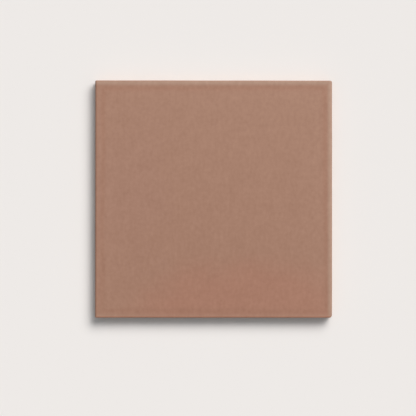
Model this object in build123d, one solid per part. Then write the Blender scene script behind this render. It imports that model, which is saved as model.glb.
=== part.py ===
from build123d import *
from math import floor
import os

# A square glazed wall tile, pressed and fired as one piece.
# Millimetres. +Z comes up out of the glazed face, +Y points to the tile's far side.
# The origin is the middle of the back, level with the ribs that the tile rests on.

# Body
SIDE = 150.0
THICKNESS = 8.0

# Glazed side: the face rolls over into the four sides
EDGE_RADIUS = 1.5

# Plan radius of each standing corner, by the signs of its X and Y
CORNER_RADII = {
    (-1, 1): 0.7,
    (1, 1): 1.3,
    (1, -1): 1.8,
    (-1, -1): 0.8,
}

# Back: a bevel all round, narrower than the sharpest corner's radius
BEVEL_HEIGHT = 1.2
BEVEL_INSET = 0.5

# Back: the key, a grid of shallow pockets. The ribs between them are pressed by straight
# tapered grooves that cross in the die, so each pocket has drafted walls and mitred corners.
POCKET_WIDTH = 10.6
POCKET_DEPTH = 0.8
POCKET_DRAFT = 30.0
RIB_WIDTH = 2.4
LEAST_BORDER = 9.0


def edges_at_corner(body, sign_x, sign_y):
    """The standing edge of one corner, and any mitre above it where two rolled edges meet."""
    corner_x = sign_x * SIDE / 2
    corner_y = sign_y * SIDE / 2

    def is_at_corner(edge):
        middle = edge.position_at(0.5)
        return max(abs(middle.X - corner_x), abs(middle.Y - corner_y)) < EDGE_RADIUS

    return body.edges().filter_by(is_at_corner)


def corners_rounded(body, corners):
    """The body with these corners rounded, each to its own radius."""
    for sign_x, sign_y in corners:
        radius = CORNER_RADII[sign_x, sign_y]
        body = fillet(edges_at_corner(body, sign_x, sign_y), radius)
    return body


def cushioned_block():
    """The outline at its full thickness, with the face's edges rolled and the corners rounded.
    A corner at least as round as the roll is rounded before it, and a sharper one after it."""
    rounder = [corner for corner, radius in CORNER_RADII.items() if radius >= EDGE_RADIUS]
    sharper = [corner for corner in CORNER_RADII if corner not in rounder]
    block = corners_rounded(extrude(Rectangle(SIDE, SIDE), THICKNESS), rounder)
    face_edges = block.faces().sort_by(Axis.Z)[-1].edges()
    return corners_rounded(fillet(face_edges, EDGE_RADIUS), sharper)


def bevelled_back(block):
    """The block with the edge of its back taken off all round."""
    back = block.faces().sort_by(Axis.Z)[0]
    return chamfer(back.edges(), BEVEL_INSET, BEVEL_HEIGHT, reference=back)


def key_pockets():
    """The pockets of the key: as many along each side as leave at least the least border."""
    mouth = Rectangle(POCKET_WIDTH, POCKET_WIDTH)
    pocket = extrude(mouth, POCKET_DEPTH, taper=POCKET_DRAFT)
    pitch = POCKET_WIDTH + RIB_WIDTH
    count = floor((SIDE - 2 * LEAST_BORDER + RIB_WIDTH) / pitch)
    return [place * pocket for place in GridLocations(pitch, pitch, count, count)]


def tile():
    """The whole tile: the cushioned block, with the key pressed into its bevelled back."""
    return bevelled_back(cushioned_block()) - key_pockets()


os.makedirs("parts", exist_ok=True)
export_step(tile(), "parts/tile.step")
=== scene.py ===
import math
from types import SimpleNamespace

import bpy
import numpy as np
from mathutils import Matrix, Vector, noise


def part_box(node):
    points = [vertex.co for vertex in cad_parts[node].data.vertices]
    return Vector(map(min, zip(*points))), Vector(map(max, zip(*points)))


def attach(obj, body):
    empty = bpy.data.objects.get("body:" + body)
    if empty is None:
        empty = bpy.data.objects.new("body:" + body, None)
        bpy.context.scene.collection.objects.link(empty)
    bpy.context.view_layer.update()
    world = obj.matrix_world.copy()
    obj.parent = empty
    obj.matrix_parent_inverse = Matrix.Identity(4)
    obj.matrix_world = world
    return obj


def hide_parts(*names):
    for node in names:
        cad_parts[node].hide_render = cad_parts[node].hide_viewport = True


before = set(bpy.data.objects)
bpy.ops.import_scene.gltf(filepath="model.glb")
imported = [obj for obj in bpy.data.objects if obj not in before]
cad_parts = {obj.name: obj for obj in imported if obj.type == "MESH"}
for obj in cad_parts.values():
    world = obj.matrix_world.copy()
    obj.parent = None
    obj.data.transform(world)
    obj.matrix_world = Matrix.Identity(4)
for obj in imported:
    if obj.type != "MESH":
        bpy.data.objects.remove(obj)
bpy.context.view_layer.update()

# A square wall tile: a matte terracotta glaze over a pale pressed body, seen from above.
# Metres, in the tile's own frame: +Z comes up out of the glazed face.
MM = 0.001
low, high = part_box("tile")
HALF = (high.x - low.x) / 2
TOP = high.z
BACK = low.z

# Edge and corners. The glazed edge rolls over an ellipse, given as its width and its height,
# that is broad along the left and right sides and tight along the near and far ones. The four
# corners are named by the signs of their X and Y.
LEFT_ROLL = (1.2 * MM, 1.6 * MM)
RIGHT_ROLL = (1.5 * MM, 1.4 * MM)
END_ROLL = (0.85 * MM, 0.48 * MM)
CORNER_RADII = {(-1, 1): 0.7 * MM, (1, 1): 1.3 * MM, (1, -1): 1.8 * MM, (-1, -1): 0.8 * MM}
BEVEL_HEIGHT = 1.2 * MM
BEVEL_INSET = 0.5 * MM

# How far in from the outline its corners bend the mesh, and its leaning sides do
CORNER_REACH = 2.5 * MM
LEAN_REACH = 10 * MM

# The face: a shallow sag, and a furrow where the glaze lies thick, which both fade in from
# where the corners' reach ends
SAG_DEPTH = 0.02 * MM
FURROW_DEPTH = 0.02 * MM
FURROW_IN_MM = 4.6
FURROW_WIDTH = 1.5 * MM
FACE_FADE = 3 * MM

# The key on the back
POCKETS_A_SIDE = 10
POCKET_WIDTH = 10.6 * MM
POCKET_DEPTH = 0.8 * MM
POCKET_WALL_RUN = POCKET_DEPTH * math.tan(math.radians(30))
POCKET_ROUNDING = 0.1 * MM
RIB_WIDTH = 2.4 * MM
KEY_PITCH = POCKET_WIDTH + RIB_WIDTH
KEY_REACH = POCKETS_A_SIDE * KEY_PITCH / 2

# The glaze on the sides: how thick it lies, and the height of the wavy foot at which it ends.
# Its slow and its quick waves each have a pace per metre and a strength.
GLAZE_THICKNESS = 0.15 * MM
GLAZE_FOOT = 4.5 * MM
GLAZE_FOOT_WAVE = 0.55 * MM
SLOW_WAVES, SLOW_STRENGTH = 70, 1.5
QUICK_WAVES, QUICK_STRENGTH = 260, 0.6

# Mesh lines of the face: over the roll, then evenly over the rim, then over the middle. The back
# has as many in all, so that the two join vertex to vertex down the sides.
LINES = 200
ROLL_STEPS = 12
RIM_WIDTH = 12.0 * MM
RIM_STEP = 0.5 * MM

# Mesh lines of a pocket: across each wall, by how far in from the pocket's mouth they run, and
# two over its floor, by how far from its middle
WALL_LINES = np.array([-0.35, -0.1, 0.1, 0.36, 0.56, 0.9]) * MM
FLOOR_LINE = 2 * MM

# Edges of the mesh that turn by more than this look sharp
SHARP_ANGLE = 35


# Shapes of the tile

def smooth_step(t):
    """0 before 0, 1 after 1, with a level start and end."""
    t = np.clip(t, 0, 1)
    return t * t * (3 - 2 * t)


def mirrored_lines(beside_edge, half):
    """Line positions from -half to half: at the given depths in from both edges, and even between."""
    remaining = LINES - 2 * len(beside_edge)
    middle = np.linspace(beside_edge[-1], 2 * half - beside_edge[-1], remaining + 2)[1:-1]
    return np.concatenate([beside_edge, middle, 2 * half - beside_edge[::-1]]) - half


def face_lines():
    """The face's lines: close together where it rolls over, then evenly over the rim."""
    turns = np.linspace(0, math.pi / 2, ROLL_STEPS + 1)
    roll = CORNER_REACH * (1 - np.cos(turns))
    rim = np.arange(CORNER_REACH + RIM_STEP, RIM_WIDTH, RIM_STEP)
    return mirrored_lines(np.concatenate([roll, rim]), HALF)


def back_lines(half):
    """The back's lines: close together at the wall of each pocket, and even over the border."""
    lines = []
    for place in range(POCKETS_A_SIDE):
        middle = (place - (POCKETS_A_SIDE - 1) / 2) * KEY_PITCH
        left = middle - POCKET_WIDTH / 2 + WALL_LINES
        right = middle + POCKET_WIDTH / 2 - WALL_LINES[::-1]
        lines += [*left, middle - FLOOR_LINE, middle + FLOOR_LINE, *right]
    border = (LINES - len(lines)) // 2
    outer = np.linspace(-half, lines[0], border + 1)[:-1]
    return np.concatenate([outer, lines, -outer[::-1]])


def line_middles(lines):
    """The places halfway between neighbouring lines."""
    return (lines[1:] + lines[:-1]) / 2


def corner_power(corner, reach):
    """The power of the curve that bends a corner of the plan as much as its radius does."""
    cut = CORNER_RADII[corner] * (1 - math.sqrt(0.5))
    return math.log(2) / -math.log(1 - cut / reach)


def rounded_plan(lines, half, reach):
    """Where a square grid of lines lies on the tile's plan once its four corners are rounded.
    Returns x, y, how far in from the outline each point is, and how much that is from a side
    at the left or right: 1 beside those, 0 beside the near and far ones."""
    x, y = np.meshgrid(lines, lines, indexing="ij")
    depth_x, depth_y = half - abs(x), half - abs(y)
    along_x = np.clip(1 - depth_x / reach, 0, 1)
    along_y = np.clip(1 - depth_y / reach, 0, 1)
    along = np.maximum(along_x, along_y)
    for corner in CORNER_RADII:
        power = corner_power(corner, reach)
        here = (along_x > 0) & (along_y > 0) & (np.sign(x) == corner[0]) & (np.sign(y) == corner[1])
        size = (along_x[here] ** power + along_y[here] ** power) ** (1 / power)
        scale = along[here] / size
        x[here] = corner[0] * (half - reach * (1 - along_x[here] * scale))
        y[here] = corner[1] * (half - reach * (1 - along_y[here] * scale))
    sideways = smooth_step(0.5 + (depth_y - depth_x) / reach)
    return x, y, np.minimum(depth_x, depth_y), sideways


def pull_in(x, y):
    """Where a point lies with the sides as they came out of the kiln, in by up to 0.3 mm. Each
    side stands in by so many mm in its middle, leans or bows, and waves a little."""
    across, along = x / HALF, y / HALF
    left = 0.20 + 0.07 * along + 0.015 * np.sin(9 * along + 1)
    right = 0.05 + 0.04 * along**2 + 0.015 * np.sin(11 * along)
    far = 0.10 + 0.09 * across + 0.02 * np.sin(8 * across + 2)
    near = 0.04 - 0.02 * across + 0.015 * np.sin(7 * across)
    from_left, from_right, from_near, from_far = (
        smooth_step(1 - depth / LEAN_REACH) for depth in (HALF + x, HALF - x, HALF + y, HALF - y)
    )
    moved_x = x + MM * (left * from_left - right * from_right)
    moved_y = y + MM * (near * from_near - far * from_far)
    return moved_x, moved_y


def sag(x, y):
    """How far the face sags, in a slow uneven wave. The wave goes from -1.5 to 1.5, so that the
    face never rises above its top, and its paces are in radians per metre."""
    wave = np.sin(31 * x + 0.6) * np.sin(27 * y - 0.4) + 0.5 * np.sin(58 * x - 49 * y + 2)
    return SAG_DEPTH * (1.5 + wave)


def roll_drop(x, depth, sideways):
    """How far the face has fallen at a depth in from the outline."""
    width, height = (
        np.where(x < 0, left, right) * sideways + end * (1 - sideways)
        for left, right, end in zip(LEFT_ROLL, RIGHT_ROLL, END_ROLL)
    )
    along = np.clip(1 - depth / width, 0, 1)
    return height * (1 - np.sqrt(1 - along**2))


def face_sheet():
    """The points of the glazed face, and how far in from the outline each is."""
    x, y, depth, sideways = rounded_plan(face_lines(), HALF, CORNER_REACH)
    furrow = FURROW_DEPTH * np.exp(-(((depth - FURROW_IN_MM * MM) / FURROW_WIDTH) ** 2))
    inside = smooth_step((depth - CORNER_REACH) / FACE_FADE)
    z = TOP - roll_drop(x, depth, sideways) - (furrow + sag(x, y)) * inside
    moved_x, moved_y = pull_in(x, y)
    return np.stack([moved_x, moved_y, z], -1), depth


def past_pocket_middle(place):
    """How far a place along one axis lies past the middle of its pocket, or past that of the tile
    where it is outside the key."""
    past = (place + KEY_REACH) % KEY_PITCH - KEY_PITCH / 2
    return np.where(abs(place) < KEY_REACH, past, place)


def pocket_fall(place):
    """How far the back has fallen at a place along one axis: 0 on a rib, 1 on a pocket's floor."""
    inside = POCKET_WIDTH / 2 - abs(past_pocket_middle(place))
    return smooth_step((inside + POCKET_ROUNDING) / (POCKET_WALL_RUN + 2 * POCKET_ROUNDING))


def back_sheet(half, reach):
    """The points of the back, a level border and pockets with sloping walls, and how far each has
    fallen into a pocket."""
    x, y = rounded_plan(back_lines(half), half, reach)[:2]
    fallen = np.minimum(pocket_fall(x), pocket_fall(y))
    moved_x, moved_y = pull_in(x, y)
    return np.stack([moved_x, moved_y, BACK + POCKET_DEPTH * fallen], -1), fallen


def glaze_foot(x, y):
    """The height at which the glaze ends on the side, at this place of the outline."""
    slow = noise.noise(Vector((x, y, 0)) * SLOW_WAVES)
    quick = noise.noise(Vector((x, y, 1)) * QUICK_WAVES)
    return GLAZE_FOOT + GLAZE_FOOT_WAVE * (SLOW_STRENGTH * slow + QUICK_STRENGTH * quick)


def outline_order():
    """Grid places round the outline, anticlockwise from the near left corner, as the index that
    picks them out of a grid."""
    last = LINES - 1
    near = [(i, 0) for i in range(last)]
    right = [(last, j) for j in range(last)]
    far = [(i, last) for i in range(last, 0, -1)]
    left = [(0, j) for j in range(last, 0, -1)]
    return tuple(np.array(near + right + far + left).T)


def on_bevel(height):
    """A loop on the bevel: its height, how far in it lies, and how much it is glazed."""
    return height, GLAZE_THICKNESS + (1 - height / BEVEL_HEIGHT) * BEVEL_INSET, 0


def side_loops(order, upper):
    """The loops down the side, from the roll's heights to the back, with how much each is glazed
    and how far each is above the glaze's foot. Their points pass in equal steps from where the
    face's lie on the outline to where the back's do."""
    x, y = rounded_plan(face_lines(), HALF, CORNER_REACH)[:2]
    foot = np.array([glaze_foot(*place) for place in zip(x[order], y[order])])
    # Height, how far in from the outline, and how much glazed: down the glaze, round its foot,
    # down the bare side and over the bevel
    steps = [
        (upper - 0.33 * (upper - foot), 0, 1),
        (upper - 0.66 * (upper - foot), 0, 1),
        (foot + 0.35 * MM, 0, 1),
        (foot + 0.12 * MM, 0, 1),
        (foot, 0.3 * GLAZE_THICKNESS, 1),
        (foot - 0.05 * MM, GLAZE_THICKNESS, 0),
        (foot - 0.3 * MM, GLAZE_THICKNESS, 0),
        (0.5 * (foot + BEVEL_HEIGHT), GLAZE_THICKNESS, 0),
        (BEVEL_HEIGHT + 0.15 * MM, GLAZE_THICKNESS, 0),
        on_bevel(BEVEL_HEIGHT - 0.1 * MM),
        on_bevel(0.15 * MM),
    ]
    loops = []
    back = back_lines(HALF - GLAZE_THICKNESS - BEVEL_INSET)
    for number, (z, inset, glazed) in enumerate(steps):
        share = (number + 1) / (len(steps) + 1)
        half = HALF - inset
        lines = face_lines() * (1 - share) / HALF + back * share / abs(back[0])
        x, y = rounded_plan(lines * half, half, CORNER_REACH - inset)[:2]
        x, y = pull_in(x[order], y[order])
        loop = np.stack([x, y, np.broadcast_to(z, foot.shape)], -1)
        loops.append((loop, np.full(foot.shape, glazed), z - foot))
    return loops


def cells(grid, past_middle):
    """The squares of a sheet, each to be split from its first corner to its third. That diagonal
    runs away from the middle of its part of the sheet, where rounded corners and mitres bend."""
    square = np.stack([grid[:-1, :-1], grid[1:, :-1], grid[1:, 1:], grid[:-1, 1:]], -1)
    other_way = np.outer(past_middle, past_middle) < 0
    square[other_way] = np.roll(square[other_way], 1, -1)
    return square.reshape(-1, 4)


def band_cells(upper, lower):
    """The squares between two loops of the side."""
    return np.stack([upper, lower, np.roll(lower, -1), np.roll(upper, -1)], -1)


def tile_mesh():
    """The whole tile as one closed mesh, with what its finish needs to know at each vertex."""
    order = outline_order()
    face, depth = face_sheet()
    back_inset = GLAZE_THICKNESS + BEVEL_INSET
    back, fallen = back_sheet(HALF - back_inset, CORNER_REACH - back_inset)
    loops = side_loops(order, face[order][:, 2])
    loop_points, loop_glazed, loop_above = (np.concatenate(kind) for kind in zip(*loops))
    points = np.concatenate([face.reshape(-1, 3), loop_points, back.reshape(-1, 3)])

    no_sheet = np.zeros(LINES * LINES)
    no_loops = np.zeros(len(loop_points))
    known = {
        "glazed": (no_sheet + 1, loop_glazed, no_sheet),
        "above_foot": (no_sheet + (TOP - GLAZE_FOOT) / MM, loop_above / MM, no_sheet - GLAZE_FOOT / MM),
        "from_edge": (depth.ravel() / MM, no_loops, no_sheet),
        "pocket": (no_sheet, no_loops, fallen.ravel()),
    }

    face_grid = np.arange(LINES * LINES).reshape(LINES, LINES)
    back_grid = face_grid + LINES * LINES + len(loop_points)
    face_cells = cells(face_grid, line_middles(face_lines()))
    back_cells = cells(back_grid, past_pocket_middle(line_middles(back_lines(HALF - back_inset))))
    facing_down = [0, 3, 2, 1]
    loop_grid = LINES * LINES + np.arange(len(loop_points)).reshape(len(loops), -1)
    rings = [face_grid[order], *loop_grid, back_grid[order]]
    bands = [band_cells(upper, lower) for upper, lower in zip(rings[:-1], rings[1:])]

    mesh = bpy.data.meshes.new("glazed_tile")
    faces = np.concatenate([face_cells, *bands, back_cells[:, facing_down]])
    mesh.from_pydata(points.tolist(), [], faces.tolist())
    mesh.shade_smooth()
    mesh.set_sharp_from_angle(angle=math.radians(SHARP_ANGLE))
    for name, values in known.items():
        values = np.concatenate(values).astype(np.float32)
        mesh.attributes.new(name, "FLOAT", "POINT").data.foreach_set("value", values)
    return mesh


# Building blocks of the finishes

# Sockets of a Mix node that blends colours
MIX_SHARE, MIX_FIRST, MIX_SECOND = 0, 6, 7
MIX_RESULT = 2


class Flow:
    """A value, vector or colour at one socket of a material. Arithmetic on values adds Math nodes."""

    def __init__(self, tree, socket=None):
        self.tree = tree
        self.socket = socket

    def node(self, kind, settings, inputs, output=0):
        """Adds a node of any kind: its settings first, then values or links for its sockets."""
        made = self.tree.nodes.new(kind)
        for name, setting in settings.items():
            setattr(made, name, setting)
        for name, value in inputs.items():
            if isinstance(value, Flow):
                self.tree.links.new(value.socket, made.inputs[name])
            else:
                made.inputs[name].default_value = value
        return Flow(self.tree, made.outputs[output])

    def math(self, operation, *values):
        """Adds a Math node."""
        return self.node("ShaderNodeMath", {"operation": operation}, dict(enumerate(values)))

    def vector(self, operation, inputs):
        """Adds a Vector Math node, which works on colours too."""
        return self.node("ShaderNodeVectorMath", {"operation": operation}, inputs)

    def __add__(self, other):
        return self.math("ADD", self, other)

    def __radd__(self, other):
        return self.math("ADD", other, self)

    def __sub__(self, other):
        return self.math("SUBTRACT", self, other)

    def __rsub__(self, other):
        return self.math("SUBTRACT", other, self)

    def __mul__(self, other):
        return self.math("MULTIPLY", self, other)

    def __rmul__(self, other):
        return self.math("MULTIPLY", other, self)

    def __truediv__(self, other):
        return self.math("DIVIDE", self, other)

    def __pow__(self, other):
        return self.math("POWER", self, other)


def larger(first, second):
    """The larger of two values."""
    return first.math("MAXIMUM", first, second)


def bell(value, middle, width):
    """1 where the value is at the middle, falling off smoothly to both sides."""
    away = (value - middle) / width
    return away.math("EXPONENT", away * away * -1)


def ease(value, start, end):
    """0 up to the start, 1 from the end on, and smooth between."""
    return value.node(
        "ShaderNodeMapRange",
        {"interpolation_type": "SMOOTHSTEP"},
        {"Value": value, "From Min": start, "From Max": end},
    )


def fade(value, start, end):
    """1 up to the start, 0 from the end on, and smooth between."""
    return 1 - ease(value, start, end)


def blended(share, first, second):
    """The first colour where the share is 0, the second where it is 1."""
    colours = {MIX_SHARE: share, MIX_FIRST: first, MIX_SECOND: second}
    return share.node("ShaderNodeMix", {"data_type": "RGBA"}, colours, output=MIX_RESULT)


def dimmed(colour, factor):
    """A colour times a value."""
    return colour.vector("SCALE", {0: colour, "Scale": factor})


def speckle(place, size, detail, roughness=0.5):
    """Cloudy noise from -0.5 to 0.5 whose patches are about the given size across, in mm."""
    cloudy = place.node(
        "ShaderNodeTexNoise",
        {"noise_dimensions": "3D"},
        {"Vector": place, "Scale": 1 / size, "Detail": detail, "Roughness": roughness},
    )
    return cloudy - 0.5


# Finish of the tile. Its lengths are in mm.

# Colours, as linear red, green and blue
TERRACOTTA = (0.345, 0.1862, 0.125, 1)
TERRACOTTA_RED = (0.364, 0.181, 0.121, 1)
TERRACOTTA_MAUVE = (0.344, 0.185, 0.127, 1)
# Tan of thin glaze on the rims, and on the right and far rims a painted highlight too
RIM_TAN_AND_HIGHLIGHT = (0.388, 0.238, 0.171, 1)
RIM_ORANGE = (0.385, 0.178, 0.111, 1)
THICK_RED = (0.352, 0.183, 0.1215, 1)
BISCUIT = (0.385, 0.264, 0.199, 1)
BISCUIT_PALE = (0.46, 0.335, 0.263, 1)
KILN_WASH = (0.60, 0.55, 0.48, 1)
TOASTED = (0.26, 0.155, 0.10, 1)

# How much of its red, green and blue a glaze colour gains when it turns chalky
CHALKINESS = (0.83, 1.08, 1.25)

# Mottling of the glaze: the size of its patches, and how much each kind changes the tone. The
# streaks are drawn out along Y.
SPECK_SIZE, SPECK_TONE = 2.5, 0.235
STREAK_SIZE, STREAK_TONE = 1.7, 0.125
STREAK_STRETCH = (1.0, 0.3, 1.0)
CLOUD_SIZE, CLOUD_TONE = 9, 0.13
PORE_SIZE = 0.35
WANDER_SIZE = 14

# Tone of the whole face: its level, and its slopes to the right, to the far side and to the far
# right corner, which are painted light, paler towards the key lamps at the upper right; and how much
# paler than the middle the left and right sides are, and the far ends of those
FACE_TONE = -0.009
PAINTED_LIGHT_ACROSS = 0.016
PAINTED_LIGHT_ALONG = 0.077
PAINTED_LIGHT_TWIST = 0.014
TONE_AT_SIDES = 0.017
TONE_AT_FAR_SIDES = -0.034

# Glaze that lies thick over the furrow, with a paler band inside it, and again just above the
# foot: the middle and the width of each, and how much it changes the tone
THICK_LINE, THICK_TONE = (FURROW_IN_MM, 1.6), -0.055
PALE_BAND, PALE_TONE = (9.0, 3.0), 0.02
FOOT_LINE, FOOT_TONE = (0.3, 0.35), -0.16

# How far the thick line wanders, and is farther in at the far and left sides. It is redder too,
# and more so towards the far side.
LINE_WANDER = 1.6
LINE_ACROSS = 0.33
LINE_ALONG = -0.45
LINE_RED, LINE_RED_ALONG = 0.7, 0.3

# Glaze that runs thin over the roll: the heights between which it fades in up the sides, the
# depths in from a side between which each band of it fades out, and how strong each is. The
# far band also fades in from the outline. Along the right and far sides, which face the key
# lamps, the tan is a painted highlight as well as thin glaze.
ROLL_HEIGHTS = (4.5, 6.5)
RIGHT_HIGHLIGHT_TAN = (1.5, 3.8)
FAR_HIGHLIGHT_TAN_IN, FAR_HIGHLIGHT_TAN_OUT = (-0.2, 1.0), (1.4, 3.8)
NEAR_TAN, NEAR_TAN_STRENGTH = (1.4, 3.2), 0.3
LEFT_ORANGE, LEFT_ORANGE_STRENGTH = (0.8, 2.2), 0.3
NEAR_ORANGE, NEAR_ORANGE_STRENGTH = (0.7, 1.4), 0.8

# A redder patch over the near side, right of the middle: its middle, its reach, and the shares
# of that between which it fades. A faint mauve one at the left: how far left of the middle it
# fades in, and its middle and width along that side. The edges of both wander.
RED_MIDDLE, RED_REACH = (20, -80), (78, 44)
RED_FADE, RED_WANDER = (0.3, 1.3), 0.5
MAUVE_FADE, MAUVE_WANDER = (18, 45), 30
MAUVE_BELL = (5, 45)

# The biscuit: sandy, with patches and with faint drag marks up the sides from the die
GRAIN_SIZE, GRAIN_TONE = 0.5, 0.25
DRAG_SIZE, DRAG_TONE = 0.8, 0.12
DRAG_STRETCH = (1.0, 1.0, 0.1)
PATCH_SIZE = 11
PATCH_FADE = (-0.15, 0.2)

# Toasted just below the foot of the glaze, and kiln wash on the border and the ribs of the back
TOASTED_LINE, TOASTED_STRENGTH = (-0.1, 0.45), 0.6
WASH_FADE, WASH_HEIGHTS = (-0.05, 0.25), (0.05, 0.4)
WASH_STRENGTH, WASH_GRAIN = 0.5, 0.6

# Roughness, and the relief of each kind of mottling
BISCUIT_ROUGHNESS = 0.95
GLAZE_ROUGHNESS_FALL = 0.17
SPECK_ROUGHNESS = 0.06
SPECK_RELIEF = 0.012
PORE_RELIEF = 0.006
CLOUD_RELIEF = 0.02
GRAIN_RELIEF = 0.06
DRAG_RELIEF = 0.04


def chalked(colour, amount):
    """A glaze colour made paler and chalkier by a positive amount, or deeper by a negative one."""
    lift = colour.vector("SCALE", {0: CHALKINESS, "Scale": amount})
    return colour.vector("MULTIPLY_ADD", {0: colour, 1: lift, 2: colour})


def tile_surface(start):
    """What the finish knows at each point of the tile, and the mottling that it shares."""
    metres = start.node("ShaderNodeTexCoord", {}, {}, output="Object")
    place = metres.vector("SCALE", {0: metres, "Scale": 1 / MM})
    spot = SimpleNamespace(place=place)
    spot.x, spot.y, spot.z = (
        start.node("ShaderNodeSeparateXYZ", {}, {0: place}, output=axis) for axis in "XYZ"
    )
    spot.glazed, spot.above_foot, spot.from_edge, spot.pocket = (
        start.node("ShaderNodeAttribute", {"attribute_name": name}, {}, output="Fac")
        for name in ("glazed", "above_foot", "from_edge", "pocket")
    )
    spot.across, spot.along = spot.x / (HALF / MM), spot.y / (HALF / MM)
    spot.wander = speckle(place, WANDER_SIZE, detail=1)
    spot.speck = speckle(place, SPECK_SIZE, detail=2)
    spot.cloud = speckle(place, CLOUD_SIZE, detail=2)
    spot.grain = speckle(place, GRAIN_SIZE, detail=3, roughness=0.7)
    spot.drag = speckle(place.vector("MULTIPLY", {0: place, 1: DRAG_STRETCH}), DRAG_SIZE, detail=2)
    return spot


def thin_glaze_and_highlight(spot):
    """Where the glaze over the roll is tan, mostly along the right and far sides, and where it is
    orange, along the left and near ones. Along the right and far sides the tan is a painted
    highlight of the key lamps as well as thin glaze."""
    left, right = HALF / MM + spot.x, HALF / MM - spot.x
    near, far = HALF / MM + spot.y, HALF / MM - spot.y
    rolled = ease(spot.z, *ROLL_HEIGHTS)
    far_highlight_tan = ease(far, *FAR_HIGHLIGHT_TAN_IN) * fade(far, *FAR_HIGHLIGHT_TAN_OUT)
    near_tan = NEAR_TAN_STRENGTH * fade(near, *NEAR_TAN)
    # Tan: thin glaze, and a painted highlight along the right and far sides
    tan = larger(fade(right, *RIGHT_HIGHLIGHT_TAN), larger(far_highlight_tan, near_tan))
    left_orange = LEFT_ORANGE_STRENGTH * fade(left, *LEFT_ORANGE)
    near_orange = NEAR_ORANGE_STRENGTH * fade(near, *NEAR_ORANGE)
    return tan * rolled, larger(left_orange, near_orange) * rolled


def glaze_tone_and_painted_light(spot, from_line, thick_line):
    """How chalky or deep the glaze is. Specks and clouds lie all over it, and short streaks run
    from the near side to the far one. It also grows paler towards the far right, which is painted
    light from the key lamps."""
    streak_place = spot.place.vector("MULTIPLY", {0: spot.place, 1: STREAK_STRETCH})
    streak = speckle(streak_place, STREAK_SIZE, detail=1)
    mottling = SPECK_TONE * spot.speck + STREAK_TONE * streak + CLOUD_TONE * spot.cloud
    lines = THICK_TONE * thick_line + PALE_TONE * bell(from_line, *PALE_BAND)
    foot = FOOT_TONE * bell(spot.above_foot, *FOOT_LINE)
    # Painted light: the face grows paler towards the key lamps at the far right
    level_and_painted_light = FACE_TONE + PAINTED_LIGHT_ACROSS * spot.across + PAINTED_LIGHT_ALONG * spot.along
    level_and_painted_light = level_and_painted_light + PAINTED_LIGHT_TWIST * spot.across * spot.along
    at_sides = (TONE_AT_SIDES + TONE_AT_FAR_SIDES * spot.along) * spot.across * spot.across
    return mottling + lines + foot + level_and_painted_light + at_sides


def glaze_colour(spot):
    """The glaze: terracotta with a redder and a mauve patch, darker where it lies thick, and tan
    or orange where it runs thin. The tan on the right and far rims is also a painted highlight,
    and the face's paling towards the far right is painted light."""
    from_line = spot.from_edge + LINE_WANDER * spot.wander
    from_line = from_line + LINE_ACROSS * spot.across + LINE_ALONG * spot.along
    thick_line = bell(from_line, *THICK_LINE)

    away_x = (spot.x - RED_MIDDLE[0]) / RED_REACH[0]
    away_y = (spot.y - RED_MIDDLE[1]) / RED_REACH[1]
    red = fade(away_x**2 + away_y**2 + RED_WANDER * spot.wander, *RED_FADE)
    mauve = ease(MAUVE_WANDER * spot.wander - spot.x, *MAUVE_FADE) * bell(spot.y, *MAUVE_BELL)
    tan, orange = thin_glaze_and_highlight(spot)

    glaze = blended(red, TERRACOTTA, TERRACOTTA_RED)
    glaze = blended(mauve, glaze, TERRACOTTA_MAUVE)
    glaze = blended(thick_line * (LINE_RED + LINE_RED_ALONG * spot.along), glaze, THICK_RED)
    # Tan rims: thin glaze, with a painted highlight on the right and far ones
    glaze = blended(tan, glaze, RIM_TAN_AND_HIGHLIGHT)
    glaze = blended(orange, glaze, RIM_ORANGE)
    return chalked(glaze, glaze_tone_and_painted_light(spot, from_line, thick_line))


def biscuit_colour(spot):
    """The bare body: sandy and patchy, toasted below the glaze, and washed on the back."""
    patch = speckle(spot.place, PATCH_SIZE, detail=3)
    biscuit = blended(ease(patch, *PATCH_FADE), BISCUIT, BISCUIT_PALE)
    toasted = TOASTED_STRENGTH * bell(spot.above_foot, *TOASTED_LINE)
    biscuit = blended(toasted, biscuit, TOASTED)
    clinging = ease(patch + WASH_GRAIN * spot.grain, *WASH_FADE)
    wash = WASH_STRENGTH * clinging * (1 - spot.pocket) * fade(spot.z, *WASH_HEIGHTS)
    biscuit = blended(wash, biscuit, KILN_WASH)
    return dimmed(biscuit, 1 + GRAIN_TONE * spot.grain + DRAG_TONE * spot.drag)


def finish_relief(spot):
    """The height of the surface's fine relief."""
    pore = speckle(spot.place, PORE_SIZE, detail=2)
    on_glaze = SPECK_RELIEF * spot.speck + PORE_RELIEF * pore + CLOUD_RELIEF * spot.cloud
    on_biscuit = GRAIN_RELIEF * spot.grain + DRAG_RELIEF * spot.drag
    return spot.glazed * on_glaze + (1 - spot.glazed) * on_biscuit


def terracotta_finish():
    """Matte glaze over the face and down the sides, and the bare biscuit below and behind it."""
    material = bpy.data.materials.new("matte_terracotta_glaze")
    material.use_nodes = True
    tree = material.node_tree
    tree.nodes.clear()
    start = Flow(tree)
    spot = tile_surface(start)

    colour = blended(spot.glazed, biscuit_colour(spot), glaze_colour(spot))
    smoother = GLAZE_ROUGHNESS_FALL - SPECK_ROUGHNESS * spot.speck
    roughness = BISCUIT_ROUGHNESS - spot.glazed * smoother
    relief = {"Strength": 1.0, "Distance": MM, "Height": finish_relief(spot)}
    bump = start.node("ShaderNodeBump", {}, relief)
    shader = start.node(
        "ShaderNodeBsdfPrincipled",
        {},
        {"Base Color": colour, "Roughness": roughness, "Normal": bump, "IOR": 1.5},
    )
    out = tree.nodes.new("ShaderNodeOutputMaterial")
    tree.links.new(shader.socket, out.inputs["Surface"])
    return material


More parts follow.
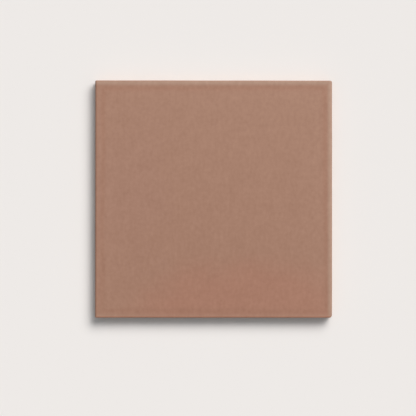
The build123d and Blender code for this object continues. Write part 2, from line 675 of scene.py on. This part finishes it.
# Stage: a pale floor, two soft key lamps side by side at the upper right, a wide lamp overhead,
# and a pale room. The shares of their light on the floor add up to 1. The overhead lamp and
# the room are a little cool and the key as much warmer, so that together they are white.
FLOOR = (0.855, 0.823, 0.799, 1)
FLOOR_REACH = 4.0
KEY_SHARE = 0.687
KEY_ELEVATION = 44.3
KEY_AZIMUTH = 55.3
KEY_SPREAD = 34.8
KEY_LAMPS_APART = 20
OVERHEAD_SHARE = 0.185
OVERHEAD_SPREAD = 115
ROOM_TINT = (0.958, 1.008, 1.043)
KEY_TINT = tuple((1 - (1 - KEY_SHARE) * part) / KEY_SHARE for part in ROOM_TINT)


def floor_piece():
    """A wide matte floor, level with the tile's back."""
    mesh = bpy.data.meshes.new("floor")
    signs = ((-1, -1), (1, -1), (1, 1), (-1, 1))
    corners = [(x * FLOOR_REACH, y * FLOOR_REACH, BACK) for x, y in signs]
    mesh.from_pydata(corners, [], [(0, 1, 2, 3)])
    material = bpy.data.materials.new("pale_floor")
    material.use_nodes = True
    shader = material.node_tree.nodes["Principled BSDF"]
    shader.inputs["Base Color"].default_value = FLOOR
    shader.inputs["Roughness"].default_value = 1
    shader.inputs["Specular IOR Level"].default_value = 0
    mesh.materials.append(material)
    floor = bpy.data.objects.new("floor", mesh)
    bpy.context.scene.collection.objects.link(floor)


def far_lamp(name, share, elevation, azimuth, spread, tint):
    """A round soft lamp, so far away that it lights the floor evenly. A share of 1 would light the
    floor to its full level. The angles are in degrees."""
    lamp = bpy.data.lights.new(name, "SUN")
    up, turned = math.radians(elevation), math.radians(azimuth)
    lamp.energy = share * math.pi / math.sin(up)
    lamp.angle = math.radians(spread)
    lamp.color = tint
    towards = Vector((math.cos(up) * math.cos(turned), math.cos(up) * math.sin(turned), math.sin(up)))
    piece = bpy.data.objects.new(name, lamp)
    piece.rotation_mode = "QUATERNION"
    piece.rotation_quaternion = towards.to_track_quat("Z", "Y")
    bpy.context.scene.collection.objects.link(piece)


def pale_room():
    """The rest of the light comes evenly from all round. Seen directly, the room is as pale as the
    floor."""
    world = bpy.data.worlds.new("room")
    bpy.context.scene.world = world
    world.use_nodes = True
    tree = world.node_tree
    tree.nodes.clear()
    start = Flow(tree)
    camera, glossy, clear = (
        start.node("ShaderNodeLightPath", {}, {}, output=f"Is {kind} Ray")
        for kind in ("Camera", "Glossy", "Transmission")
    )
    share = 1 - KEY_SHARE - OVERHEAD_SHARE
    light = (*(share * part for part in ROOM_TINT), 1)
    colour = blended(larger(camera, larger(glossy, clear)), light, FLOOR)
    background = start.node("ShaderNodeBackground", {}, {"Color": colour, "Strength": 1.0})
    out = tree.nodes.new("ShaderNodeOutputWorld")
    tree.links.new(background.socket, out.inputs["Surface"])


# Camera: straight above, over the middle of the photograph's frame
PHOTO_SIDE_PX = 416
PHOTO_TILE_CENTRE_PX = (213.5, 199.07)
METRES_PER_PX = 0.6315 * MM
CAMERA_HEIGHT = 1.6
SENSOR_WIDTH = 36


def photo_camera():
    """The view of the photograph, from well above the tile."""
    data = bpy.data.cameras.new("camera")
    data.sensor_width = SENSOR_WIDTH
    data.lens = SENSOR_WIDTH * CAMERA_HEIGHT / (PHOTO_SIDE_PX * METRES_PER_PX)
    camera = bpy.data.objects.new("camera", data)
    x = (PHOTO_SIDE_PX / 2 - PHOTO_TILE_CENTRE_PX[0]) * METRES_PER_PX
    y = (PHOTO_TILE_CENTRE_PX[1] - PHOTO_SIDE_PX / 2) * METRES_PER_PX
    camera.location = (x, y, CAMERA_HEIGHT + TOP)
    bpy.context.scene.collection.objects.link(camera)
    bpy.context.scene.camera = camera


# Making the scene
photo_camera()
for name, turned in (("key_right", -KEY_LAMPS_APART / 2), ("key_left", KEY_LAMPS_APART / 2)):
    far_lamp(name, KEY_SHARE / 2, KEY_ELEVATION, KEY_AZIMUTH + turned, KEY_SPREAD, KEY_TINT)
far_lamp("overhead", OVERHEAD_SHARE, elevation=90, azimuth=0, spread=OVERHEAD_SPREAD, tint=ROOM_TINT)
pale_room()
floor_piece()

tile = bpy.data.objects.new("glazed_tile", tile_mesh())
bpy.context.scene.collection.objects.link(tile)
tile.data.materials.append(terracotta_finish())
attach(tile, "root")
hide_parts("tile")

bpy.context.scene.view_settings.view_transform = "Standard"
